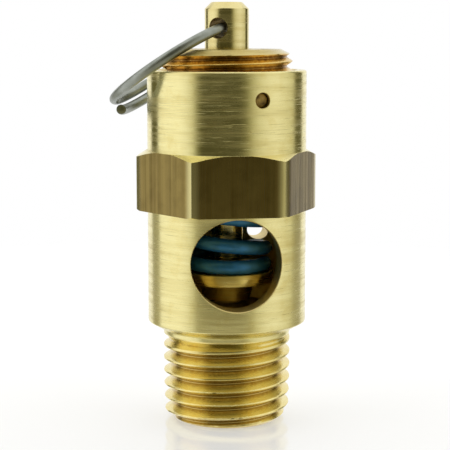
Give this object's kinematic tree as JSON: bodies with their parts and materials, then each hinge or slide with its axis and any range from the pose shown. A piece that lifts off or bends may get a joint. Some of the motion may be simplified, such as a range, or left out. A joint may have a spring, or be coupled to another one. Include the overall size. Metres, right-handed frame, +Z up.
{
  "type": "pressure relief valve",
  "caption": "Side-discharge pressure relief valve: taper-threaded inlet, hexagon, round discharge port, small bleed hole, sprung poppet, pinned adjusting screw, lift stem and split pull ring.",
  "frame": {"origin": "centre of the inlet's end face, which the valve stands on", "axes": "+Z up the valve's axis, from the inlet towards the pull ring; the discharge port faces -Y, and so does a flat of the hexagon"},
  "size_m": [0.0221, 0.0192, 0.0445],
  "materials": {
    "body_brass": "satin turned brass with fine lathe lines",
    "screw_brass": "bright thread-cut brass with darker roots",
    "stem_brass": "smooth turned brass",
    "poppet_brass": "polished turned brass",
    "plated_steel": "zinc-plated steel",
    "ring_steel": "drawn steel wire, satin grey",
    "blue_paint": "glossy dark blue colour-code paint on spring steel",
    "seat_rubber": "matt black rubber"
  },
  "bodies": {
    "housing": {"valve_body": "body_brass", "adjusting_screw": "screw_brass", "lock_pin": "body_brass", "spring_washer": "plated_steel", "spring": "blue_paint"},
    "disc": {"poppet": "poppet_brass", "seat_disc": "seat_rubber"},
    "lift_stem": {"stem": "stem_brass", "stem_clip": "plated_steel"},
    "ring": {"pull_ring": "ring_steel"}
  },
  "joints": [
    {"name": "stem_lift", "type": "slide", "parent": "housing", "child": "disc", "axis": [0, 0, 1], "range_m": [0, 0.002], "stiffness_N_per_m": 200, "springref_m": -0.002, "deforming": ["spring"]},
    {"name": "stem_swivel", "type": "hinge", "parent": "disc", "child": "lift_stem", "pos_m": [0, 0, 0.0418], "axis": [0, 0, 1], "continuous": true},
    {"name": "ring_swing", "type": "hinge", "parent": "lift_stem", "child": "ring", "pos_m": [0, 0, 0.0418], "axis": [0.5476, 0.8368, 0], "range_deg": [0, 230]}
  ]
}
